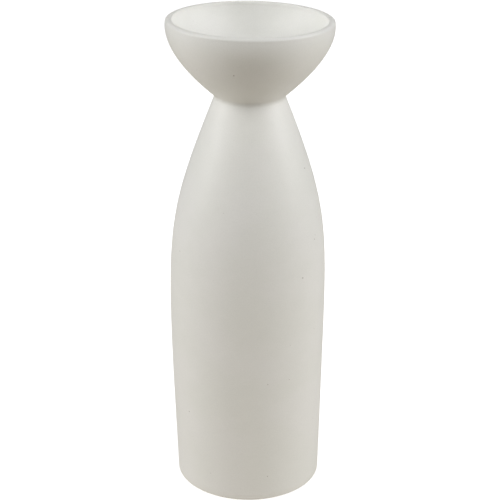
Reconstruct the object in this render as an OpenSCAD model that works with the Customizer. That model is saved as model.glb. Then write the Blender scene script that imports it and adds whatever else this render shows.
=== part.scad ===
// Ceramic bud vase: a slip-cast bottle with a flared bowl luted onto its neck, standing on four felt pads.
// Frame: +Z up, origin on the table at the centre of the foot. Millimetres.

/* [Overall] */
// Height from the table to the top of the lip
overall_h = 305; // [295:1:320]

/* [Bottle] */
// Outer radius where the side wall meets the foot
foot_r = 46.5; // [45:0.1:48]
// Outward lean of the side wall at the foot, from the vertical
foot_lean = 1.4; // [0:0.1:3]
// Largest radius of the bottle
belly_r = 49.3; // [48.5:0.1:52]
// Height of the largest radius
belly_z = 126; // [110:1:140]
// Wall of the bottle
wall = 4.2; // [3.6:0.1:5]
// Thickness of the bottle's floor
floor_t = 6; // [5:0.5:8]

/* [Neck] */
// Outer radius at the crease between bottle and bowl
neck_r = 21.5; // [21:0.1:24]
// Height of the crease
neck_z = 258; // [250:0.5:262]
// Lean of the shoulder at the crease, from the vertical
neck_lean = 21.4; // [18:0.1:26]
// Radius of the hole that the stem goes through
throat_r = 13.5; // [11:0.1:14]
// Length of the bowl's spigot inside the bottle's mouth
spigot_l = 8; // [6:0.5:10]
// Thickness of the slip between the two pieces
slip_t = 1.2; // [0.8:0.1:1.6]
// Radius of the slip fillet in the crease
crease_r = 2; // [1.5:0.1:2.5]

/* [Bowl] */
// Lean of the bowl at the crease, from the vertical
bowl_lean = 49.6; // [46:0.1:53]
// Outer radius of the rim
rim_r = 51; // [49:0.1:54]
// Thickness of the lip
lip_t = 4.3; // [3.6:0.1:5]
// Radius of the lip's outer edge
lip_out_r = 2; // [1.5:0.1:2.2]
// Radius of the lip's inner edge
lip_in_r = 1; // [0.6:0.1:1.2]
// Thickness of the bowl where it sits on the bottle
bowl_base_t = 7; // [6.5:0.1:8]

/* [Foot] */
// Depth of the recess in the underside
recess_d = 2.4; // [2:0.1:3]
// Width of the foot ring around the recess
foot_ring_w = 7; // [6:0.5:9]
// Radius of the foot's outer edge
foot_edge_r = 1.5; // [1:0.1:2]

/* [Felt pads] */
// Radius of one pad
pad_r = 7; // [5:0.5:8]
// Thickness of one pad
pad_t = 3; // [3:0.1:3.5]
// Distance of each pad from the axis
pad_ring_r = 29; // [24:0.5:30]

/* [Hidden] */
$fn = 128;

PAD_COUNT = 4;
STEPS = 24;            // segments in one long curve
CORNER_STEPS = 6;      // segments in one small rounded corner
LIP_STEPS = 8;         // segments over each edge of the lip
HEEL_STEP = 5;         // step of the side curve at which the inside starts to turn into the floor
BOWL_INNER_STEP = 3;   // step of the bowl's curve at which the inside starts to turn into the throat

// Small sizes that stay the same
recess_slope = 1;      // how far the recess's wall leans in
recess_edge_r = 1.2;   // round between the recess's wall and its ceiling
ring_edge_r = 0.8;     // round on the foot ring's inner edge
heel_t = 0.8;          // extra wall where the side meets the floor
heel_r = 12;           // round between the inside and the floor
spigot_gap = 0.4;      // between the spigot and the inside of the mouth
spigot_edge_r = 0.8;   // round on the spigot's end
throat_blend_r = 4;    // round between the bowl and the throat
bead_h = 3;            // how far the slip runs down between spigot and mouth
bead_drop = 1.2;       // how much lower the slip's bead ends on the bottle's side

// How far the shape's curves hold their end directions, in shares of the stretch they cover
foot_hold = 0.295;
belly_hold_below = 0.25;
belly_hold_above = 0.413;
neck_hold = 0.485;
crease_hold = 0.95;
rim_hold = 0.066;

// Heights that follow from the driving dimensions
foot_z = pad_t - recess_d;
recess_z = foot_z + recess_d;
floor_z = recess_z + floor_t;
mouth_z = neck_z - slip_t / 2;
seat_z = neck_z + slip_t / 2;
spigot_z = mouth_z - spigot_l;
rim_z = overall_h - lip_t / 2;

// Radii that follow from them
mouth_out_r = neck_r + slip_t / 2 * tan(neck_lean);
mouth_in_r = mouth_out_r - wall / cos(neck_lean);
seat_r = neck_r + slip_t / 2 * tan(bowl_lean);
spigot_r = mouth_in_r - spigot_gap;
recess_r = foot_r - foot_ring_w;

// The outside, foot to belly, belly to neck and neck to rim, each as a cubic Bezier of [radius, height]
side_h = belly_z - foot_z;
shoulder_h = neck_z - belly_z;
bowl_h = rim_z - neck_z;
side_curve = [
    [foot_r, foot_z],
    [foot_r, foot_z] + foot_hold * side_h * [sin(foot_lean), cos(foot_lean)],
    [belly_r, belly_z - belly_hold_below * side_h],
    [belly_r, belly_z]
];
shoulder_curve = [
    [belly_r, belly_z],
    [belly_r, belly_z + belly_hold_above * shoulder_h],
    [neck_r, neck_z] + neck_hold * shoulder_h * [sin(neck_lean), -cos(neck_lean)],
    [neck_r, neck_z]
];
bowl_curve = [
    [neck_r, neck_z],
    [neck_r, neck_z] + crease_hold * bowl_h * [sin(bowl_lean), cos(bowl_lean)],
    [rim_r, rim_z - rim_hold * bowl_h],
    [rim_r, rim_z]
];

// A point of a cubic Bezier, and the direction it runs in there
function bezier(c, t) =
    pow(1 - t, 3) * c[0] + 3 * pow(1 - t, 2) * t * c[1] + 3 * (1 - t) * t * t * c[2] + pow(t, 3) * c[3];
function heading(c, t) =
    let (d = pow(1 - t, 2) * (c[1] - c[0]) + 2 * (1 - t) * t * (c[2] - c[1]) + t * t * (c[3] - c[2]))
    d / norm(d);

// The same point moved inwards by the wall there
function inside(c, t, w) = let (d = heading(c, t)) bezier(c, t) + w * [-d.y, d.x];

// Points of a curve from one step to another, moved inwards by wa at the first to wb at the last
function run(c, first, last, wa = 0, wb = 0) =
    [for (i = [first:last]) inside(c, i / STEPS, wa + (wb - wa) * (i - first) / (last - first))];

// The arc of radius r that rounds corner b between a and c
function corner(a, b, c, r, n = CORNER_STEPS) =
    let (u = (a - b) / norm(a - b), v = (c - b) / norm(c - b),
         half = acos(u * v) / 2,
         centre = b + (u + v) / norm(u + v) * r / sin(half),
         p = b + u * r / tan(half) - centre,
         q = b + v * r / tan(half) - centre,
         turn = 180 - 2 * half)
    [for (i = [0:n]) let (s = i / n) centre + (p * sin((1 - s) * turn) + q * sin(s * turn)) / sin(turn)];

// The same points, last to first
function backwards(points) = [for (i = [len(points) - 1:-1:0]) points[i]];

// The middle of the bottle's wall, a depth d below the mouth
function mid_wall(d) = [(mouth_in_r + mouth_out_r) / 2 + d * tan(neck_lean), mouth_z - d];

// The bottle's section: underside, foot, outside, mouth, inside and floor
function bottle_outline() =
    let (underside = [0, recess_z],
         recess_corner = [recess_r - recess_slope, recess_z],
         ring_in = [recess_r, foot_z],
         foot_corner = [foot_r, foot_z],
         outside = concat(run(side_curve, 1, STEPS), run(shoulder_curve, 1, STEPS - 1)),
         inner_side = run(side_curve, HEEL_STEP, STEPS, wall + heel_t, wall),
         inner_shoulder = run(shoulder_curve, 1, STEPS - 1, wall, wall),
         heel = inner_side[0],
         floor_corner = [heel.x - (heel.y - floor_z) * tan(foot_lean), floor_z])
    concat(
        [underside],
        corner(underside, recess_corner, ring_in, recess_edge_r),
        corner(recess_corner, ring_in, foot_corner, ring_edge_r),
        corner(ring_in, foot_corner, outside[0], foot_edge_r),
        outside,
        [[mouth_out_r, mouth_z], [mouth_in_r, mouth_z]],
        backwards(inner_shoulder),
        backwards(inner_side),
        corner(heel, floor_corner, [0, floor_z], heel_r, 2 * CORNER_STEPS),
        [[0, floor_z]]
    );

// The bowl's section: spigot, seat, outside, lip, inside and throat
function bowl_outline() =
    let (spigot_in = [throat_r, spigot_z],
         spigot_out = [spigot_r, spigot_z],
         seat_in = [spigot_r, seat_z],
         lip_out = [rim_r, overall_h],
         lip_in = [rim_r - lip_t, overall_h],
         inner = run(bowl_curve, BOWL_INNER_STEP, STEPS, bowl_base_t, lip_t),
         slope = inner[1] - inner[0],
         throat_top = inner[0] - slope * (inner[0].x - throat_r) / slope.x)
    concat(
        corner(throat_top, spigot_in, spigot_out, spigot_edge_r),
        corner(spigot_in, spigot_out, seat_in, spigot_edge_r),
        [seat_in, [seat_r, seat_z]],
        run(bowl_curve, 1, STEPS - 1),
        corner([rim_r, rim_z], lip_out, lip_in, lip_out_r, LIP_STEPS),
        corner(lip_out, lip_in, [rim_r - lip_t, rim_z], lip_in_r, LIP_STEPS),
        backwards(inner),
        corner(inner[0], throat_top, spigot_in, throat_blend_r)
    );

// The slip's blank: it reaches into both pieces, and has the concave fillet on its outside
function slip_outline() =
    let (reach = crease_r / tan((180 - neck_lean - bowl_lean) / 2),
         crease = [neck_r, neck_z],
         low = crease + reach * [sin(neck_lean), -cos(neck_lean)],
         high = crease + reach * [sin(bowl_lean), cos(bowl_lean)])
    concat(
        [[spigot_r - 1, mouth_z - bead_h], [spigot_r, mouth_z - bead_h],
         mid_wall(bead_h + bead_drop), mid_wall(wall / 2)],
        corner(low, crease, high, crease_r, 2 * CORNER_STEPS),
        [high + [-1, 1], [spigot_r - 1, seat_z + 1]]
    );

module bottle_body() {
    color("#dcdad2")
        rotate_extrude()
            polygon(bottle_outline());
}

module top_bowl() {
    color("#e2e1dc")
        rotate_extrude()
            polygon(bowl_outline());
}

module neck_slip_joint() {
    color("#cfcbbf")
        rotate_extrude()
            difference() {
                polygon(slip_outline());
                polygon(bottle_outline());
                polygon(bowl_outline());
            }
}

module felt_pad(i) {
    color("#c9c4b8")
        rotate([0, 0, 360 / PAD_COUNT * (i + 0.5)])
            translate([pad_ring_r, 0, 0])
                cylinder(r = pad_r, h = pad_t);
}

bottle_body();
top_bowl();
neck_slip_joint();
felt_pad(0);  // felt_pad_1
felt_pad(1);  // felt_pad_2
felt_pad(2);  // felt_pad_3
felt_pad(3);  // felt_pad_4
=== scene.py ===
"""Ceramic bud vase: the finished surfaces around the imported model.

A tall slip-cast bottle has a flared bowl luted onto its neck, under one satin off-white glaze. It stands on
felt pads in the recess of its foot. Lengths are in metres, +Z is up and the vase's axis is the Z axis.
"""

import logging
import math
from dataclasses import dataclass, field
from enum import Enum
from functools import cached_property
from typing import Callable

import bpy
from mathutils import Matrix, Vector


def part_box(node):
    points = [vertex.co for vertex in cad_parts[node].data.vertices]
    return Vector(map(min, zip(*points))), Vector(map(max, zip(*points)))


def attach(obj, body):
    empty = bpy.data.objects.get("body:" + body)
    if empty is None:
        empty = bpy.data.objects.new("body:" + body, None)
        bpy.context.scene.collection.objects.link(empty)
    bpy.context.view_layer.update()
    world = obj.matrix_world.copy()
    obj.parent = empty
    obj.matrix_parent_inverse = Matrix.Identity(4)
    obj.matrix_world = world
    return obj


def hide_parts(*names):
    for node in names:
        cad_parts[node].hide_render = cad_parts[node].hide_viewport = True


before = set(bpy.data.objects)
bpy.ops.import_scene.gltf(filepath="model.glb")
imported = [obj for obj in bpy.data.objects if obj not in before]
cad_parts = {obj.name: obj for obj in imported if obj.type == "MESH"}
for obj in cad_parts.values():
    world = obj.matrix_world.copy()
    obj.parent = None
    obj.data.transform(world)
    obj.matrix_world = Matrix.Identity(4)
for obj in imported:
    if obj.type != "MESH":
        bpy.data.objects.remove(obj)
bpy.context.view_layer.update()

MM = 0.001
FULL_TURN = 2 * math.pi
BODY = "root"
SHORTEST_STEP = 0.04 * MM
GRADING_PASSES = 5
# A step of a section over MOST_GROWTH times its neighbour is cut, at NEXT_GROWTH times it
MOST_GROWTH = 3
NEXT_GROWTH = 2
LOG = logging.getLogger("bud_vase")

Colour = tuple[float, float, float, float]
# Light that comes up off the table is a little warm
OFF_THE_TABLE = (1.0, 0.93, 0.82)


# ---------------------------------------------------------------- sections, as points of (radius, height)


def lean(degrees: float) -> Vector:
    """The unit direction that leans outwards from the vertical by this angle."""
    return Vector((math.sin(math.radians(degrees)), math.cos(math.radians(degrees))))


@dataclass(frozen=True)
class Stretch:
    """One cubic stretch of a section, given by its ends and the points that hold their directions."""

    start: Vector
    start_hold: Vector
    end_hold: Vector
    end: Vector

    def point(self, t: float) -> Vector:
        """The point at parameter t, from 0 to 1."""
        s = 1 - t
        return (s**3 * self.start + 3 * s * s * t * self.start_hold
                + 3 * s * t * t * self.end_hold + t**3 * self.end)

    def heading(self, t: float) -> Vector:
        """The unit direction in which the stretch runs at parameter t."""
        s = 1 - t
        way = (s * s * (self.start_hold - self.start) + 2 * s * t * (self.end_hold - self.start_hold)
               + t * t * (self.end - self.end_hold))
        return way.normalized()

    def run(self, first: float, last: float, count: int,
            depths: tuple[float, float] = (0.0, 0.0)) -> list[Vector]:
        """Points along the stretch, moved inwards into the wall.

        Args:
            first: Parameter of the first point.
            last: Parameter of the last point.
            count: How many points.
            depths: How far the first and the last point move inwards.

        Returns:
            The points, from first to last.
        """
        points = []
        for step in range(count):
            share = step / (count - 1)
            t = first + (last - first) * share
            depth = depths[0] + (depths[1] - depths[0]) * share
            way = self.heading(t)
            points.append(self.point(t) + depth * Vector((-way.y, way.x)))
        return points


def round_corner(before: Vector, corner: Vector, after: Vector, radius: float,
                 count: int = 5) -> list[Vector]:
    """Points of the arc that rounds a corner.

    Args:
        before: A point on the line that comes into the corner.
        corner: The corner.
        after: A point on the line that leaves it.
        radius: The arc's radius.
        count: How many points.

    Returns:
        The points, from the incoming line to the leaving one.
    """
    back, on = (before - corner).normalized(), (after - corner).normalized()
    half = math.acos(max(-1.0, min(1.0, back.dot(on)))) / 2
    centre = corner + (back + on).normalized() * radius / math.sin(half)
    first = corner + back * radius / math.tan(half) - centre
    last = corner + on * radius / math.tan(half) - centre
    turn = math.pi - 2 * half
    points = []
    for step in range(count):
        share = step / (count - 1)
        spread = first * math.sin((1 - share) * turn) + last * math.sin(share * turn)
        points.append(centre + spread / math.sin(turn))
    return points


def graded(points: list[Vector]) -> list[Vector]:
    """Adds points to long steps beside short ones, so that smoothing keeps each small round where it is.

    Args:
        points: The section's points.

    Returns:
        The same line, in steps whose lengths change gradually.
    """
    line = [points[0]]
    for point in points[1:]:
        if (point - line[-1]).length > SHORTEST_STEP:
            line.append(point)
    for _ in range(GRADING_PASSES):
        lengths = [(b - a).length for a, b in zip(line, line[1:])]
        lengths = [lengths[0], *lengths, lengths[-1]]
        denser = [line[0]]
        for step, (a, b) in enumerate(zip(line, line[1:]), start=1):
            before, own, after = lengths[step - 1:step + 2]
            if own > MOST_GROWTH * min(before, after):
                share = NEXT_GROWTH * min(before, after) / own
                denser.append(a.lerp(b, share if before <= after else 1 - share))
            denser.append(b)
        line = denser
    return line


@dataclass
class Outline:
    """The vase's outside as three cubic stretches.

    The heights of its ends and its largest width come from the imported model. Each hold is how far a curve
    keeps the direction of its end, as a share of the stretch's height.
    """

    foot_r: float = 46.5 * MM
    foot_lean: float = 1.4
    neck_r: float = 21.5 * MM
    neck_lean: float = 21.4
    bowl_lean: float = 49.6
    belly_z: float = 126 * MM
    lip_t: float = 4.3 * MM
    wall: float = 4.2 * MM
    rim_r: float = 51 * MM
    rim_tilt: float = 0.55
    slip_t: float = 1.2 * MM
    foot_hold: float = 0.295
    belly_hold_below: float = 0.25
    belly_hold_above: float = 0.413
    neck_hold: float = 0.485
    crease_hold: float = 0.95
    rim_hold: float = 0.066

    @cached_property
    def foot_z(self) -> float:
        """Height of the foot ring's underside, just above the table."""
        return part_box("bottle_body")[0].z

    @cached_property
    def mouth_z(self) -> float:
        """Height of the bottle's mouth, which the slip covers."""
        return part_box("bottle_body")[1].z

    @cached_property
    def neck_z(self) -> float:
        """Height of the crease between bottle and bowl."""
        return self.mouth_z + self.slip_t / 2

    @cached_property
    def top_z(self) -> float:
        """Height of the middle of the leaning lip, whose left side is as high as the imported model."""
        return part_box("top_bowl")[1].z - self.rim_r * math.sin(math.radians(self.rim_tilt))

    @cached_property
    def belly_r(self) -> float:
        """Largest radius of the bottle."""
        low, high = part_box("bottle_body")
        return (high.x - low.x) / 2

    @cached_property
    def mouth_out_r(self) -> float:
        """Outer radius of the bottle's mouth."""
        return self.neck_r + self.slip_t / 2 * math.tan(math.radians(self.neck_lean))

    @cached_property
    def mouth_in_r(self) -> float:
        """Inner radius of the bottle's mouth."""
        return self.mouth_out_r - self.wall / math.cos(math.radians(self.neck_lean))

    @cached_property
    def side(self) -> Stretch:
        """The outside from the foot to the belly."""
        height = self.belly_z - self.foot_z
        foot, belly = Vector((self.foot_r, self.foot_z)), Vector((self.belly_r, self.belly_z))
        return Stretch(foot, foot + self.foot_hold * height * lean(self.foot_lean),
                       belly - Vector((0, self.belly_hold_below * height)), belly)

    @cached_property
    def shoulder(self) -> Stretch:
        """The outside from the belly to the crease at the neck."""
        height = self.neck_z - self.belly_z
        belly, neck = Vector((self.belly_r, self.belly_z)), Vector((self.neck_r, self.neck_z))
        return Stretch(belly, belly + Vector((0, self.belly_hold_above * height)),
                       neck - self.neck_hold * height * lean(-self.neck_lean), neck)

    @cached_property
    def flare(self) -> Stretch:
        """The outside of the bowl from the crease to the lip."""
        neck, rim = Vector((self.neck_r, self.neck_z)), Vector((self.rim_r, self.top_z - self.lip_t / 2))
        height = rim.y - neck.y
        return Stretch(neck, neck + self.crease_hold * height * lean(self.bowl_lean),
                       rim - Vector((0, self.rim_hold * height)), rim)


# ---------------------------------------------------------------- node trees


class Signal:
    """A number's output socket, with arithmetic that adds Math nodes."""

    def __init__(self, bench: "NodeBench", socket: bpy.types.NodeSocket) -> None:
        """Wraps one output socket of the bench's tree."""
        self.bench = bench
        self.socket = socket

    def __add__(self, other: "Signal | float") -> "Signal":
        """Adds a signal or a number."""
        return self.bench.maths("ADD", self, other)

    __radd__ = __add__

    def __sub__(self, other: "Signal | float") -> "Signal":
        """Takes away a signal or a number."""
        return self.bench.maths("SUBTRACT", self, other)

    def __rsub__(self, other: float) -> "Signal":
        """Takes this signal away from a number."""
        return self.bench.maths("SUBTRACT", other, self)

    def __mul__(self, other: "Signal | float") -> "Signal":
        """Multiplies by a signal or a number."""
        return self.bench.maths("MULTIPLY", self, other)

    __rmul__ = __mul__

    def __truediv__(self, other: "Signal | float") -> "Signal":
        """Divides by a signal or a number."""
        return self.bench.maths("DIVIDE", self, other)

    def __rtruediv__(self, other: float) -> "Signal":
        """Divides a number by this signal."""
        return self.bench.maths("DIVIDE", other, self)

    def __gt__(self, other: "Signal | float") -> "Signal":
        """One where this signal is the larger, and zero elsewhere."""
        return self.bench.maths("GREATER_THAN", self, other)

    def rise(self, low: float, high: float) -> "Signal":
        """Climbs smoothly from 0 at low to 1 at high, or falls where low is the larger."""
        if low > high:
            return 1 - self.rise(high, low)
        return self.bench.node("ShaderNodeMapRange", {"interpolation_type": "SMOOTHSTEP"},
                               {"Value": self, "From Min": low, "From Max": high})


class NodeBench:
    """Adds nodes to one node tree."""

    def __init__(self, tree: bpy.types.NodeTree) -> None:
        """Takes over the tree and clears it."""
        self.tree = tree
        tree.nodes.clear()

    def node(self, kind: str, settings: dict[str, object] | None = None,
             inputs: dict[str | int, object] | None = None, output: str | int = 0) -> Signal:
        """Adds one node.

        Args:
            kind: The node's type.
            settings: Its properties, set first.
            inputs: Values or signals by socket name or number.
            output: Which output to hand back.

        Returns:
            The chosen output.
        """
        made = self.tree.nodes.new(kind)
        for name, value in (settings or {}).items():
            setattr(made, name, value)
        for key, value in (inputs or {}).items():
            if isinstance(value, Signal):
                self.tree.links.new(value.socket, made.inputs[key])
            else:
                made.inputs[key].default_value = value
        return Signal(self, made.outputs[output]) if len(made.outputs) else Signal(self, None)

    def maths(self, operation: str, *values: Signal | float) -> Signal:
        """Adds a Math node on these values."""
        return self.node("ShaderNodeMath", {"operation": operation}, dict(enumerate(values)))

    def blend(self, share: Signal | float, first: Signal | Colour, second: Signal | Colour) -> Signal:
        """Mixes two colours, from the first at share 0 to the second at share 1."""
        return self.node("ShaderNodeMix", {"data_type": "RGBA"}, {0: share, 6: first, 7: second}, 2)

    def scaled(self, colour: Signal, by: Signal) -> Signal:
        """Brightens or dims a colour by a factor near 1."""
        return self.node("ShaderNodeVectorMath", {"operation": "SCALE"}, {0: colour, "Scale": by})

    def place(self, stretch: tuple[float, float, float] = (1.0, 1.0, 1.0)) -> Signal:
        """Object coordinates in metres, stretched along each axis."""
        where = self.node("ShaderNodeTexCoord", output="Object")
        if stretch == (1.0, 1.0, 1.0):
            return where
        return self.node("ShaderNodeMapping", inputs={"Vector": where, "Scale": stretch})

    def height(self) -> Signal:
        """Height above the table, in metres."""
        return self.node("ShaderNodeSeparateXYZ", inputs={0: self.place()}, output="Z")

    def noise(self, size: float, detail: float = 2.0,
              stretch: tuple[float, float, float] = (1.0, 1.0, 1.0)) -> Signal:
        """Cloudy noise around 0.5 whose patches are about size metres across."""
        return self.node("ShaderNodeTexNoise", inputs={"Vector": self.place(stretch), "Scale": 1 / size,
                                                       "Detail": detail})


# ---------------------------------------------------------------- finishes


@dataclass(frozen=True)
class SatinGlaze:
    """The off-white satin glaze, with faint clouding, fine grain and a few iron specks."""

    name: str = "satin_glaze"
    milk: Colour = (0.87, 0.865, 0.835, 1)
    cloud: Colour = (0.85, 0.85, 0.81, 1)
    thin: Colour = (0.80, 0.775, 0.72, 1)
    pooled: Colour = (0.84, 0.84, 0.80, 1)
    iron: Colour = (0.16, 0.12, 0.08, 1)
    roughness: float = 0.46
    cloud_size: float = 38 * MM
    drift_size: float = 9 * MM
    peel_size: float = 3.2 * MM
    grain_size: float = 0.7 * MM
    bump: float = 0.35
    relief: float = 0.12 * MM
    thinned_at_lip: float = 0.35
    thinned_at_foot: float = 0.3
    pool_h: float = 4 * MM
    pool_share: float = 0.7
    speck_cell: float = 7 * MM
    speck_share: float = 0.45
    speck_r: float = 0.4 * MM
    speck_depth: float = 0.75

    def specks(self, bench: NodeBench) -> Signal:
        """Where a speck of iron shows, from 0 to 1. Few cells hold one, and their sizes differ."""
        cell = {"Vector": bench.place(), "Scale": 1 / self.speck_cell}
        distance = bench.node("ShaderNodeTexVoronoi", inputs=cell)
        chance = bench.node("ShaderNodeTexVoronoi", inputs=cell, output="Color")
        drawn = bench.node("ShaderNodeSeparateColor", inputs={0: chance}, output="Red")
        spread = bench.node("ShaderNodeSeparateColor", inputs={0: chance}, output="Green")
        radius = (spread * 0.7 + 0.5) * (self.speck_r / self.speck_cell)
        return (drawn > 1 - self.speck_share) * (distance / radius).rise(1.1, 0.6)

    def fire(self, outline: Outline) -> bpy.types.Material:
        """Makes the material.

        Args:
            outline: Says where the crease, the lip and the foot are.

        Returns:
            The finished material.
        """
        material = bpy.data.materials.new(self.name)
        material.use_nodes = True
        bench = NodeBench(material.node_tree)
        height = bench.height()
        clouds = bench.noise(self.cloud_size, 3.0)
        drift = bench.noise(self.drift_size, 3.0)
        grain = bench.noise(self.grain_size, 1.5)
        peel = bench.noise(self.peel_size, 2.0)
        at_lip = height.rise(outline.top_z - 1.6 * MM, outline.top_z + 1.0 * MM)
        at_foot = height.rise(outline.foot_z + 6 * MM, outline.foot_z + 1.5 * MM)
        above = height.rise(outline.neck_z + self.pool_h, outline.neck_z)
        below = height.rise(outline.neck_z - self.pool_h, outline.neck_z)
        colour = bench.blend(clouds.rise(0.35, 0.65), self.milk, self.cloud)
        thinned = at_lip * self.thinned_at_lip + at_foot * self.thinned_at_foot
        colour = bench.blend(thinned * (0.6 + drift * 0.8), colour, self.thin)
        colour = bench.blend(above * below * self.pool_share, colour, self.pooled)
        colour = bench.scaled(colour, 0.945 + drift * 0.03 + grain * 0.08)
        specks = self.specks(bench)
        colour = bench.blend(specks * self.speck_depth, colour, self.iron)
        normal = bench.node("ShaderNodeBump", inputs={
            "Strength": self.bump, "Distance": self.relief, "Height": grain * 0.35 + peel * 0.65})
        roughness = self.roughness - 0.04 + grain * 0.05 + clouds * 0.05 - specks * 0.1
        shader = bench.node("ShaderNodeBsdfPrincipled", inputs={
            "Base Color": colour, "Roughness": roughness, "Normal": normal, "IOR": 1.5})
        bench.node("ShaderNodeOutputMaterial", inputs={"Surface": shader})
        return material


@dataclass(frozen=True)
class BareClay:
    """Unglazed stoneware on the foot ring: warm, dry and sandy."""

    name: str = "bare_clay"
    body: Colour = (0.56, 0.49, 0.40, 1)
    toasted: Colour = (0.47, 0.38, 0.28, 1)
    grog: Colour = (0.68, 0.63, 0.55, 1)
    roughness: float = 0.85
    blush_size: float = 14 * MM
    sand_size: float = 0.45 * MM
    grog_size: float = 0.9 * MM
    bump: float = 0.6
    relief: float = 0.15 * MM

    def fire(self, outline: Outline) -> bpy.types.Material:
        """Makes the material.

        Args:
            outline: Says where the foot is.

        Returns:
            The finished material.
        """
        material = bpy.data.materials.new(self.name)
        material.use_nodes = True
        bench = NodeBench(material.node_tree)
        blush = bench.noise(self.blush_size, 3.0)
        sand = bench.noise(self.sand_size, 2.0)
        grains = bench.node("ShaderNodeTexVoronoi", inputs={
            "Vector": bench.place(), "Scale": 1 / self.grog_size})
        worn = bench.height().rise(outline.foot_z + 0.5 * MM, outline.foot_z)
        colour = bench.blend(blush.rise(0.4, 0.7), self.body, self.toasted)
        colour = bench.blend(grains.rise(0.3, 0.1) * 0.5, colour, self.grog)
        colour = bench.blend(worn * 0.35, colour, self.grog)
        colour = bench.scaled(colour, 0.9 + sand * 0.2)
        normal = bench.node("ShaderNodeBump", inputs={
            "Strength": self.bump, "Distance": self.relief, "Height": sand * 0.6 + grains * 0.4})
        roughness = self.roughness + sand * 0.1 - worn * 0.1
        shader = bench.node("ShaderNodeBsdfPrincipled", inputs={
            "Base Color": colour, "Roughness": roughness, "Normal": normal})
        bench.node("ShaderNodeOutputMaterial", inputs={"Surface": shader})
        return material


@dataclass(frozen=True)
class WoolFelt:
    """Pressed wool felt of the pads: matted fibres that run every way."""

    name: str = "wool_felt"
    wool: Colour = (0.62, 0.59, 0.53, 1)
    shade: Colour = (0.44, 0.41, 0.36, 1)
    roughness: float = 0.95
    fibre_size: float = 0.25 * MM
    fibre_stretch: float = 0.15
    tuft_size: float = 1.6 * MM
    bump: float = 0.9
    relief: float = 0.25 * MM

    def press(self) -> bpy.types.Material:
        """Makes the material."""
        material = bpy.data.materials.new(self.name)
        material.use_nodes = True
        bench = NodeBench(material.node_tree)
        along = bench.noise(self.fibre_size, 3.0, (self.fibre_stretch, 1.0, 1.0))
        across = bench.noise(self.fibre_size, 3.0, (1.0, self.fibre_stretch, 1.0))
        tufts = bench.noise(self.tuft_size, 2.0)
        fibres = along * 0.5 + across * 0.5
        colour = bench.blend(fibres.rise(0.35, 0.62), self.shade, self.wool)
        colour = bench.scaled(colour, 0.85 + tufts * 0.3)
        normal = bench.node("ShaderNodeBump", inputs={
            "Strength": self.bump, "Distance": self.relief, "Height": fibres * 0.6 + tufts * 0.4})
        roughness = self.roughness - 0.08 + fibres * 0.1
        shader = bench.node("ShaderNodeBsdfPrincipled", inputs={
            "Base Color": colour, "Roughness": roughness, "Normal": normal, "Sheen Weight": 0.3,
            "Sheen Roughness": 0.6, "Specular IOR Level": 0.2})
        bench.node("ShaderNodeOutputMaterial", inputs={"Surface": shader})
        return material


# ---------------------------------------------------------------- pieces


class Seam(Enum):
    """How a section is shut before it is turned."""

    ON_AXIS = "on axis"
    LOOP = "loop"


@dataclass(frozen=True)
class Wheel:
    """Turns a section about the vertical axis into a closed mesh."""

    spokes: int = 72
    weld: float = 0.002 * MM
    smoothing: int = 1

    def throw(self, name: str, section: list[Vector], seam: Seam) -> bpy.types.Object:
        """Draws a section, spins it and closes it.

        Args:
            name: The piece's name.
            section: Points of (radius, height), one after another.
            seam: Whether the section ends on the axis or comes back to its start.

        Returns:
            The turned piece, at the origin with its place in its mesh.
        """
        bpy.ops.object.select_all(action="DESELECT")
        bpy.ops.mesh.primitive_plane_add(size=MM, location=(0, 0, 0))
        piece = bpy.context.active_object
        piece.name = name
        piece.data.name = name
        bpy.ops.object.mode_set(mode="EDIT")
        bpy.ops.mesh.select_mode(type="VERT")
        bpy.ops.mesh.select_all(action="SELECT")
        bpy.ops.mesh.merge(type="CENTER")
        bpy.ops.transform.translate(value=(section[0].x, 0, section[0].y))
        route = graded(section + ([section[0]] if seam is Seam.LOOP else []))
        here = route[0]
        for point in route[1:]:
            step = point - here
            bpy.ops.mesh.extrude_vertices_move(TRANSFORM_OT_translate={"value": (step.x, 0, step.y)})
            here = point
        bpy.ops.mesh.select_all(action="SELECT")
        bpy.ops.mesh.remove_doubles(threshold=self.weld)
        bpy.ops.mesh.spin(steps=self.spokes, angle=FULL_TURN, center=(0, 0, 0), axis=(0, 0, 1))
        bpy.ops.mesh.select_all(action="SELECT")
        bpy.ops.mesh.remove_doubles(threshold=self.weld)
        bpy.ops.mesh.normals_make_consistent(inside=False)
        bpy.ops.object.mode_set(mode="OBJECT")
        return piece

    def smooth(self, piece: bpy.types.Object) -> None:
        """Rounds a turned piece with one subdivision, and shades it smooth."""
        bpy.ops.object.select_all(action="DESELECT")
        piece.select_set(True)
        bpy.context.view_layer.objects.active = piece
        bpy.ops.object.modifier_add(type="SUBSURF")
        rounding = piece.modifiers[-1]
        rounding.levels = self.smoothing
        rounding.render_levels = self.smoothing
        bpy.ops.object.modifier_apply(modifier=rounding.name)
        bpy.ops.object.shade_smooth()


def select_ring(piece: bpy.types.Object, low: float, high: float) -> None:
    """Goes into edit mode with the vertices between two heights selected, and nothing else.

    Args:
        piece: The piece to edit.
        low: Lowest height, in metres.
        high: Highest height, in metres.
    """
    bpy.ops.object.select_all(action="DESELECT")
    piece.select_set(True)
    bpy.context.view_layer.objects.active = piece
    bpy.ops.object.mode_set(mode="EDIT")
    bpy.ops.mesh.select_mode(type="VERT")
    bpy.ops.mesh.select_all(action="DESELECT")
    bpy.ops.object.mode_set(mode="OBJECT")
    for vertex in piece.data.vertices:
        vertex.select = low <= vertex.co.z <= high
    bpy.ops.object.mode_set(mode="EDIT")


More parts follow.
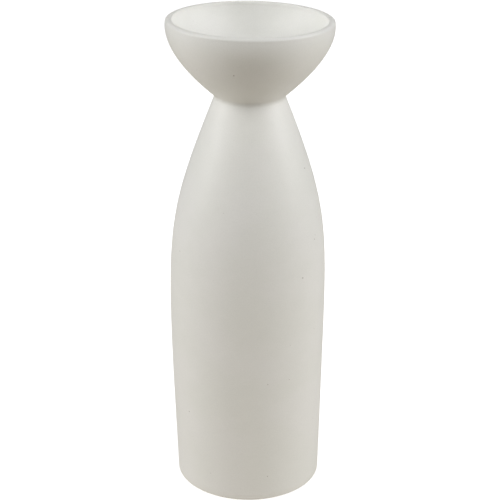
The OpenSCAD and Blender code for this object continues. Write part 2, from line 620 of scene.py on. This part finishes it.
def select_faces(piece: bpy.types.Object, wanted: Callable[[bpy.types.MeshPolygon], bool]) -> None:
    """Goes into edit mode with the wanted faces selected, and nothing else.

    Args:
        piece: The piece to edit.
        wanted: Says whether a face is to be selected.
    """
    bpy.ops.object.mode_set(mode="EDIT")
    bpy.ops.mesh.select_mode(type="FACE")
    bpy.ops.mesh.select_all(action="DESELECT")
    bpy.ops.object.mode_set(mode="OBJECT")
    for face in piece.data.polygons:
        face.select = wanted(face)
    bpy.ops.object.mode_set(mode="EDIT")


def dress(piece: bpy.types.Object, slot: str, *materials: bpy.types.Material) -> None:
    """Gives a piece its materials and the body that it rides on."""
    for material in materials:
        piece.data.materials.append(material)
    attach(piece, BODY)


def report(piece: bpy.types.Object) -> None:
    """Logs a finished piece's size and face count."""
    size = piece.dimensions / MM
    LOG.info("%s: %d faces, %.1f x %.1f x %.1f mm", piece.name, len(piece.data.polygons), *size)


@dataclass
class Bottle:
    """The slip-cast bottle: hollow, glazed in and out, with a bare foot ring round a shallow recess.

    Fields that end in _at or _step are places along a stretch of the outline, from 0 to 1.
    """

    outline: Outline
    wheel: Wheel
    floor_t: float = 6 * MM
    recess_d: float = 2.4 * MM
    ring_w: float = 7 * MM
    recess_slope: float = 1 * MM
    recess_edge_r: float = 1.2 * MM
    heel_t: float = 0.8 * MM
    heel_r: float = 12 * MM
    glaze_t: float = 0.2 * MM
    foot_edge_r: float = 1.5 * MM
    ring_edge_r: float = 1.0 * MM
    edge_points: int = 12
    bare_h: float = 0.42 * MM
    foot_side_at: float = 0.05
    side_at: float = 0.06
    heel_at: float = 0.21
    belly_step: float = 0.035
    inner_belly_step: float = 0.045
    mouth_at: float = 0.98
    inner_mouth_at: float = 0.975
    mouth_out_edge_r: float = 0.2 * MM
    mouth_in_edge_r: float = 0.3 * MM
    bow: float = 1.0 * MM
    bow_z: float = 112 * MM
    bow_reach: float = 135 * MM

    @property
    def bare_z(self) -> float:
        """Height of the glaze line round the foot ring."""
        return self.outline.foot_z + self.bare_h

    def edge(self, before: Vector, corner: Vector, after: Vector, radius: float) -> list[Vector]:
        """A rounded edge of the foot ring, glazed above the glaze line and bare below it.

        Args:
            before: A point on the line into the corner.
            corner: The corner, at the ring's underside.
            after: A point on the line out of it.
            radius: Radius of the glazed edge.

        Returns:
            The points, with a small step down from the glaze to the clay.
        """
        clay = round_corner(before, corner, after, radius - self.glaze_t, self.edge_points)
        glaze = round_corner(before, corner, after, radius, self.edge_points)
        downwards = before.y > corner.y
        under_glaze = Vector((self.glaze_t if downwards else -self.glaze_t, 0))
        kept = [point for point in glaze if point.y > self.bare_z]
        bare = [point + under_glaze for point in clay if point.y < self.bare_z]
        return [*kept, *bare] if downwards else [*bare, *kept]

    def underside(self) -> list[Vector]:
        """The section from the axis across the recess and the foot ring to the outside."""
        shape = self.outline
        foot_z, recess_r = shape.foot_z, shape.foot_r - self.ring_w
        ceiling_z = foot_z + self.recess_d
        centre, corner = Vector((0, ceiling_z)), Vector((recess_r - self.recess_slope, ceiling_z))
        ring_in, foot = Vector((recess_r, foot_z)), Vector((shape.foot_r, foot_z))
        ceiling = [centre.lerp(corner, share) for share in (0.0, 0.25, 0.5, 0.72, 0.88)]
        ring = [ring_in.lerp(foot, share) for share in (0.35, 0.65)]
        return [
            *ceiling,
            *round_corner(centre, corner, ring_in, self.recess_edge_r),
            *self.edge(corner, ring_in, foot, self.ring_edge_r),
            *ring,
            *self.edge(ring_in, foot, shape.side.point(self.foot_side_at), self.foot_edge_r),
        ]

    def section(self) -> list[Vector]:
        """The whole section: underside, outside, mouth, inside and floor."""
        shape = self.outline
        floor_z = shape.foot_z + self.recess_d + self.floor_t
        inner_side = shape.side.run(self.heel_at, 1.0, 16, (shape.wall + self.heel_t, shape.wall))
        inner_shoulder = shape.shoulder.run(self.inner_belly_step, self.inner_mouth_at, 22,
                                            (shape.wall, shape.wall))
        heel = inner_side[0]
        heel_run = (heel.y - floor_z) * math.tan(math.radians(shape.foot_lean))
        floor_corner = Vector((heel.x - heel_run, floor_z))
        centre = Vector((0, floor_z))
        floor = [floor_corner.lerp(centre, share) for share in (0.5, 0.7, 0.85, 1.0)]
        mouth_out = Vector((shape.mouth_out_r, shape.mouth_z))
        mouth_in = Vector((shape.mouth_in_r, shape.mouth_z))
        shoulder_end = shape.shoulder.point(self.mouth_at)
        return [
            *self.underside(),
            *shape.side.run(self.side_at, 1.0, 24),
            *shape.shoulder.run(self.belly_step, self.mouth_at, 30),
            *round_corner(shoulder_end, mouth_out, mouth_in, self.mouth_out_edge_r, 3),
            *round_corner(mouth_out, mouth_in, inner_shoulder[-1], self.mouth_in_edge_r, 3),
            *reversed(inner_shoulder),
            *reversed(inner_side),
            *round_corner(heel, floor_corner, centre, self.heel_r, 9),
            *floor,
        ]

    def bare_foot(self, piece: bpy.types.Object) -> None:
        """Leaves the foot ring bare below the glaze line."""
        for face in piece.data.polygons:
            if face.center.z < self.bare_z:
                face.material_index = 1

    def build(self, glaze: bpy.types.Material, clay: bpy.types.Material) -> bpy.types.Object:
        """Makes and dresses the bottle.

        Args:
            glaze: The glaze in and out.
            clay: The bare clay of the foot ring.

        Returns:
            The finished bottle.
        """
        piece = self.wheel.throw("vase_bottle", self.section(), Seam.ON_AXIS)
        select_ring(piece, self.bow_z - 3 * MM, self.bow_z + 3 * MM)
        bpy.ops.transform.translate(value=(-self.bow, 0, 0), use_proportional_edit=True,
                                    proportional_edit_falloff="SMOOTH", proportional_size=self.bow_reach)
        bpy.ops.object.mode_set(mode="OBJECT")
        self.wheel.smooth(piece)
        dress(piece, "bottle_glaze", glaze, clay)
        self.bare_foot(piece)
        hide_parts("bottle_body")
        report(piece)
        return piece


@dataclass
class Bowl:
    """The flared bowl: its spigot, its seat on the bottle, its outside, its lip, its inside and the throat.

    Fields that end in _at are places along the outline's flare, from 0 to 1.
    """

    outline: Outline
    wheel: Wheel
    base_t: float = 7 * MM
    throat_r: float = 13.5 * MM
    throat_blend_r: float = 4 * MM
    spigot_gap: float = 0.4 * MM
    spigot_edge_r: float = 0.8 * MM
    lip_out_r: float = 1.8 * MM
    lip_in_r: float = 1.0 * MM
    lip_crown: float = 0.15 * MM
    seat_edge_r: float = 0.1 * MM
    seat_at: float = 0.03
    funnel_at: float = 0.125
    lip_at: float = 0.985

    def section(self) -> list[Vector]:
        """The whole section, as a loop: the throat, the spigot, up the outside and down the inside."""
        shape = self.outline
        spigot_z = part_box("top_bowl")[0].z
        seat_z = shape.neck_z + shape.slip_t / 2
        spigot_r = shape.mouth_in_r - self.spigot_gap
        seat_r = shape.neck_r + shape.slip_t / 2 * math.tan(math.radians(shape.bowl_lean))
        spigot_in, spigot_out = Vector((self.throat_r, spigot_z)), Vector((spigot_r, spigot_z))
        seat_in, seat_out = Vector((spigot_r, seat_z)), Vector((seat_r, seat_z))
        outside = shape.flare.run(self.seat_at, self.lip_at, 30)
        inside = shape.flare.run(self.funnel_at, self.lip_at, 28, (self.base_t, shape.lip_t))
        lip_out = Vector((shape.rim_r, shape.top_z - self.lip_crown))
        lip_in = Vector((shape.rim_r - shape.lip_t, shape.top_z - self.lip_crown))
        crown = (lip_out + lip_in) / 2 + Vector((0, self.lip_crown))
        slope = inside[1] - inside[0]
        throat_top = inside[0] - slope * ((inside[0].x - self.throat_r) / slope.x)
        funnel = [throat_top + (inside[0] - throat_top) * share for share in (0.3, 0.55, 0.8)]
        throat = [throat_top + (spigot_in - throat_top) * share for share in (0.35, 0.6)]
        return [
            *round_corner(throat_top, spigot_in, spigot_out, self.spigot_edge_r, 4),
            *round_corner(spigot_in, spigot_out, seat_in, self.spigot_edge_r, 4),
            spigot_out + (seat_in - spigot_out) * 0.5,
            *round_corner(spigot_out, seat_in, seat_out, self.seat_edge_r, 3),
            *round_corner(seat_in, seat_out, outside[0], self.seat_edge_r, 3),
            *outside,
            *round_corner(outside[-1], lip_out, crown, self.lip_out_r, 8),
            crown,
            *round_corner(crown, lip_in, inside[-1], self.lip_in_r, 6),
            *reversed(inside),
            *reversed(funnel),
            *round_corner(inside[0], throat_top, spigot_in, self.throat_blend_r, 6),
            *throat,
        ]

    def build(self, glaze: bpy.types.Material) -> bpy.types.Object:
        """Makes and dresses the bowl.

        Args:
            glaze: The glaze in and out.

        Returns:
            The finished bowl.
        """
        shape = self.outline
        piece = self.wheel.throw("vase_bowl", self.section(), Seam.LOOP)
        select_ring(piece, shape.top_z - 3 * MM, shape.top_z + MM)
        bpy.ops.transform.rotate(value=-math.radians(shape.rim_tilt), orient_axis="Y", orient_type="GLOBAL",
                                 center_override=(0, 0, shape.top_z), use_proportional_edit=True,
                                 proportional_edit_falloff="SMOOTH",
                                 proportional_size=shape.top_z - shape.neck_z)
        bpy.ops.object.mode_set(mode="OBJECT")
        self.wheel.smooth(piece)
        dress(piece, "bowl_glaze", glaze)
        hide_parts("top_bowl")
        report(piece)
        return piece


@dataclass
class SlipJoint:
    """The slip between bottle and bowl: a bed under the seat, a bead inside and a hollow fillet outside."""

    outline: Outline
    wheel: Wheel
    fillet_r: float = 2.8 * MM
    bead_h: float = 3 * MM
    bead_drop: float = 1.2 * MM
    spigot_gap: float = 0.4 * MM
    bite: float = 0.12 * MM
    bed_inset: float = 1.2 * MM
    bead_hollow: float = 0.3 * MM

    def section(self) -> list[Vector]:
        """The section, as a loop that reaches a hair into both pieces so that no gap shows."""
        shape = self.outline
        crease = Vector((shape.neck_r, shape.neck_z))
        down, up = -lean(-shape.neck_lean), lean(shape.bowl_lean)
        reach = self.fillet_r / math.tan(math.radians(180 - shape.neck_lean - shape.bowl_lean) / 2)
        low, high = crease + down * reach, crease + up * reach
        into_bottle, into_bowl = Vector((-down.y, down.x)) * -self.bite, Vector((-up.y, up.x)) * self.bite
        bed_low, bed_high = shape.mouth_z - self.bite, shape.neck_z + shape.slip_t / 2 + self.bite
        spigot_r = shape.mouth_in_r - self.spigot_gap - self.bite
        wall_slope = math.tan(math.radians(shape.neck_lean))
        bead_top = Vector((spigot_r, shape.mouth_z - self.bead_h))
        bead_foot = Vector((shape.mouth_in_r + (self.bead_h + self.bead_drop) * wall_slope + self.bite,
                            shape.mouth_z - self.bead_h - self.bead_drop))
        return [
            *round_corner(low, crease, high, self.fillet_r, 13),
            high + into_bowl,
            Vector((high.x - self.bed_inset, bed_high)),
            Vector(((high.x + spigot_r) / 2, bed_high)),
            Vector((spigot_r, bed_high)),
            Vector((spigot_r, (bed_high + bed_low) / 2)),
            bead_top,
            (bead_top + bead_foot) / 2 + Vector((0, self.bead_hollow)),
            bead_foot,
            Vector((shape.mouth_in_r + self.bite, bed_low)),
            Vector(((shape.mouth_in_r + low.x) / 2, bed_low)),
            Vector((shape.mouth_out_r - self.bite, bed_low)),
            low + into_bottle,
        ]

    def build(self, glaze: bpy.types.Material) -> bpy.types.Object:
        """Makes and dresses the slip joint.

        Args:
            glaze: The glaze that has pooled on it.

        Returns:
            The finished ring.
        """
        piece = self.wheel.throw("neck_slip", self.section(), Seam.LOOP)
        self.wheel.smooth(piece)
        dress(piece, "joint_slip", glaze)
        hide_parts("neck_slip_joint")
        report(piece)
        return piece


@dataclass
class FeltPads:
    """The felt pads in the recess: one pad is made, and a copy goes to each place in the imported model."""

    names: tuple[str, ...] = ("felt_pad_1", "felt_pad_2", "felt_pad_3", "felt_pad_4")
    facets: int = 48
    side_cuts: int = 3
    edge_w: float = 0.35 * MM
    fray: float = 0.12 * MM
    tuft: float = 1.1 * MM
    middle_rings: tuple[float, ...] = (1.5 * MM, 1.8 * MM)

    def punch(self, felt: bpy.types.Material) -> bpy.types.Object:
        """Makes the first pad.

        Args:
            felt: The felt.

        Returns:
            The pad, with its place in its mesh.
        """
        low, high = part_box(self.names[0])
        bpy.ops.object.select_all(action="DESELECT")
        bpy.ops.mesh.primitive_cylinder_add(vertices=self.facets, radius=(high.x - low.x) / 2 - self.fray,
                                            depth=high.z - low.z - 2 * self.fray, location=(low + high) / 2)
        piece = bpy.context.active_object
        bpy.ops.object.transform_apply(location=True, rotation=True, scale=True)
        self.inset_ends(piece)
        self.divide_side(piece)
        self.fluff(piece)
        piece.data.materials.append(felt)
        return piece

    def inset_ends(self, piece: bpy.types.Object) -> None:
        """Draws rings on the pad's two flat ends, and closes each at its middle."""
        select_faces(piece, lambda face: abs(face.normal.z) > 0.9)
        for inset in (self.edge_w, 2 * self.edge_w, *self.middle_rings):
            bpy.ops.mesh.inset(thickness=inset)
        bpy.ops.mesh.poke()
        bpy.ops.object.mode_set(mode="OBJECT")

    def divide_side(self, piece: bpy.types.Object) -> None:
        """Cuts the pad's side into rings."""
        middle = sum((Vector(corner) for corner in piece.bound_box), Vector()) / 8
        bpy.ops.object.mode_set(mode="EDIT")
        for cut in range(self.side_cuts):
            share = (cut + 1) / (self.side_cuts + 1) - 0.5
            bpy.ops.mesh.select_all(action="SELECT")
            level = middle + Vector((0, 0, share * piece.dimensions.z))
            bpy.ops.mesh.bisect(plane_co=level, plane_no=(0, 0, 1))
        bpy.ops.object.mode_set(mode="OBJECT")

    def fluff(self, piece: bpy.types.Object) -> None:
        """Softens the cut edge and raises the fibres' uneven surface."""
        tufts = bpy.data.textures.new("felt_tufts", "CLOUDS")
        tufts.noise_scale = self.tuft
        tufts.noise_depth = 2
        bpy.ops.object.modifier_add(type="SUBSURF")
        piece.modifiers[-1].levels = piece.modifiers[-1].render_levels = 1
        bpy.ops.object.modifier_apply(modifier=piece.modifiers[-1].name)
        bpy.ops.object.modifier_add(type="DISPLACE")
        raised = piece.modifiers[-1]
        raised.texture, raised.texture_coords = tufts, "LOCAL"
        raised.strength, raised.mid_level = 2 * self.fray, 0.5
        bpy.ops.object.modifier_apply(modifier=raised.name)
        bpy.ops.object.shade_smooth()

    def build(self, felt: bpy.types.Material) -> list[bpy.types.Object]:
        """Makes the pads and puts one at each place.

        Args:
            felt: The felt.

        Returns:
            The pads.
        """
        pads = [self.punch(felt)]
        first = sum(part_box(self.names[0]), Vector()) / 2
        for name in self.names[1:]:
            place = sum(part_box(name), Vector()) / 2
            turn = math.atan2(place.y, place.x) - math.atan2(first.y, first.x)
            bpy.ops.object.select_all(action="DESELECT")
            pads[0].select_set(True)
            bpy.context.view_layer.objects.active = pads[0]
            bpy.ops.object.duplicate()
            copy = bpy.context.active_object
            bpy.ops.object.mode_set(mode="EDIT")
            bpy.ops.mesh.select_all(action="SELECT")
            bpy.ops.transform.rotate(value=-turn, orient_axis="Z", orient_type="GLOBAL",
                                     center_override=(0, 0, 0))
            bpy.ops.object.mode_set(mode="OBJECT")
            pads.append(copy)
        for name, piece in zip(self.names, pads):
            piece.name = piece.data.name = name.replace("felt", "foot")
            dress(piece, "pad_felt")
            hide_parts(name)
            report(piece)
        return pads


# ---------------------------------------------------------------- studio


@dataclass(frozen=True)
class Softbox:
    """A soft light, or a mirrored pair of them, placed by where it stands as seen from the vase.

    Azimuth 0 is in front, on the camera's side, and 90 is to the right.
    """

    name: str
    azimuth: float
    elevation: float
    power: float
    colour: tuple[float, float, float] = (1.0, 1.0, 1.0)
    size: float = 0.85
    reach: float = 1.6
    paired: bool = True


@dataclass
class Studio:
    """A pale floor, a white backdrop, soft lights and the camera.

    The floor glows white from pool_r outwards, and its glow dims to a grey painted shade round the vase at
    pool_from.
    """

    aim: Vector = field(default_factory=lambda: Vector((0, 0, 160 * MM)))
    floor_r: float = 12.0
    floor_sides: int = 64
    # Grey glow of the floor next to the vase: painted shade round its foot
    paper_with_painted_shade: Colour = (0.86, 0.86, 0.85, 1)
    pool_from: float = 0.1
    pool_r: float = 0.5
    softboxes: tuple[Softbox, ...] = (
        Softbox("high_box", 60, 42, 9.5),
        Softbox("side_box", 85, 20, 10),
        Softbox("back_box", 150, 42, 2.5),
        Softbox("low_fill", 0, -35, 3, OFF_THE_TABLE, paired=False),
        Softbox("table_glow", 0, -90, 3, OFF_THE_TABLE, size=1.6, reach=0.17, paired=False),
    )
    eye: Vector = field(default_factory=lambda: Vector((0.5 * MM, -845.4 * MM, 501.3 * MM)))
    pitch: float = 22.218
    roll: float = 0.27
    lens: float = 103.85
    sensor_w: float = 36

    def hang(self, box: Softbox, side: int) -> bpy.types.Object:
        """Adds one softbox that faces the vase.

        Args:
            box: The softbox.
            side: 1 to hang it where it says, or -1 for its mirror image on the left.

        Returns:
            The light.
        """
        azimuth, elevation = side * math.radians(box.azimuth), math.radians(box.elevation)
        away = Vector((math.sin(azimuth) * math.cos(elevation), -math.cos(azimuth) * math.cos(elevation),
                       math.sin(elevation)))
        turn = away.to_track_quat("Z", "Y").to_euler()
        bpy.ops.object.light_add(type="AREA", location=self.aim + box.reach * away, rotation=turn)
        light = bpy.context.active_object
        light.name = box.name if side > 0 else "left_" + box.name
        light.data.shape = "DISK"
        light.data.size = box.size
        light.data.energy = box.power
        light.data.color = box.colour
        light.visible_camera = False
        return light

    def lay_floor(self) -> None:
        """Adds the pale floor. Only the camera sees it, so it throws no light back at the vase."""
        bpy.ops.object.select_all(action="DESELECT")
        bpy.ops.mesh.primitive_circle_add(vertices=self.floor_sides, radius=self.floor_r,
                                          fill_type="NGON", location=(0, 0, 0))
        floor = bpy.context.active_object
        floor.name = "studio_floor"
        floor.visible_diffuse = floor.visible_glossy = floor.visible_shadow = False
        paper_with_painted_shade = bpy.data.materials.new("pale_paper_painted_shade")
        paper_with_painted_shade.use_nodes = True
        bench = NodeBench(paper_with_painted_shade.node_tree)
        away = bench.node("ShaderNodeVectorMath", {"operation": "LENGTH"}, {0: bench.place()}, "Value")
        # Painted shade: the floor's glow dims from white to grey near the vase
        glow = bench.blend(away.rise(self.pool_from, self.pool_r), self.paper_with_painted_shade, (1, 1, 1, 1))
        shader = bench.node("ShaderNodeBsdfPrincipled", inputs={
            "Base Color": (0.5, 0.5, 0.5, 1), "Roughness": 1.0, "Specular IOR Level": 0.0,
            "Emission Color": glow, "Emission Strength": 1.0})
        bench.node("ShaderNodeOutputMaterial", inputs={"Surface": shader})
        floor.data.materials.append(paper_with_painted_shade)

    def paint_backdrop(self) -> None:
        """Makes the world white to the camera and dark to the vase."""
        world = bpy.data.worlds.new("backdrop")
        world.use_nodes = True
        bpy.context.scene.world = world
        bench = NodeBench(world.node_tree)
        seen = bench.node("ShaderNodeLightPath", output="Is Camera Ray")
        glow = bench.node("ShaderNodeBackground", inputs={"Color": (1, 1, 1, 1), "Strength": seen})
        bench.node("ShaderNodeOutputWorld", inputs={"Surface": glow})

    def set_camera(self) -> None:
        """Places the camera a little above the rim, looking down at the vase."""
        bpy.ops.object.camera_add(location=self.eye, rotation=(0, 0, 0))
        camera = bpy.context.active_object
        down = Matrix.Rotation(math.radians(90 - self.pitch), 4, "X")
        tipped = Matrix.Rotation(math.radians(self.roll), 4, "Z")
        camera.matrix_world = Matrix.Translation(self.eye) @ down @ tipped
        camera.data.lens = self.lens
        camera.data.sensor_width = self.sensor_w
        bpy.context.scene.camera = camera

    def build(self) -> None:
        """Makes the whole studio."""
        self.lay_floor()
        self.paint_backdrop()
        self.set_camera()
        for box in self.softboxes:
            for side in (1, -1) if box.paired else (1,):
                self.hang(box, side)
        bpy.context.scene.view_settings.view_transform = "Standard"
        LOG.info("studio: %d softboxes", len(self.softboxes))


def main() -> None:
    """Builds the vase piece by piece, then the studio around it."""
    logging.basicConfig(level=logging.INFO, format="%(name)s %(message)s")
    outline, wheel = Outline(), Wheel()
    glaze, clay, felt = SatinGlaze().fire(outline), BareClay().fire(outline), WoolFelt().press()
    Bottle(outline, wheel).build(glaze, clay)
    Bowl(outline, wheel).build(glaze)
    SlipJoint(outline, wheel).build(glaze)
    FeltPads().build(felt)
    Studio().build()


if __name__ == "__main__":
    main()
